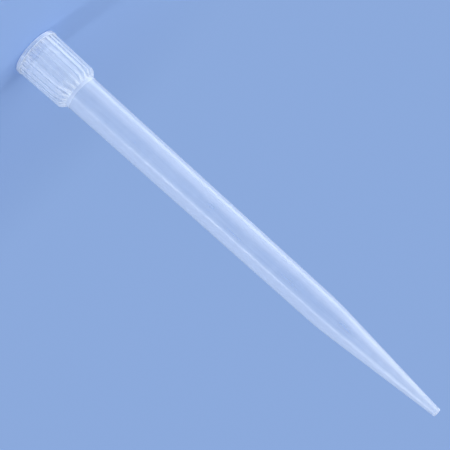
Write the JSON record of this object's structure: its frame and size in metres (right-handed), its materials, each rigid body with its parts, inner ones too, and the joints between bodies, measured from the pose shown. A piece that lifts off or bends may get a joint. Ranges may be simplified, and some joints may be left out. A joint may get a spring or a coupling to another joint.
{
  "type": "pipette tip",
  "caption": "Long translucent plastic tip: a finned collar that grips a pipette's nozzle, a slightly tapered barrel and a cone down to a fine opening.",
  "frame": {"origin": "centre of the mouth, in the plane of the rim that the tip stands on", "axes": "+Z along the tip's axis from the mouth to the small end; the crest of one fin points along +X"},
  "size_m": [0.0152, 0.015, 0.15],
  "materials": {
    "polypropylene": "natural translucent, slightly milky, satin"
  },
  "bodies": {
    "root": {"pipette_tip": "polypropylene"}
  },
  "joints": []
}
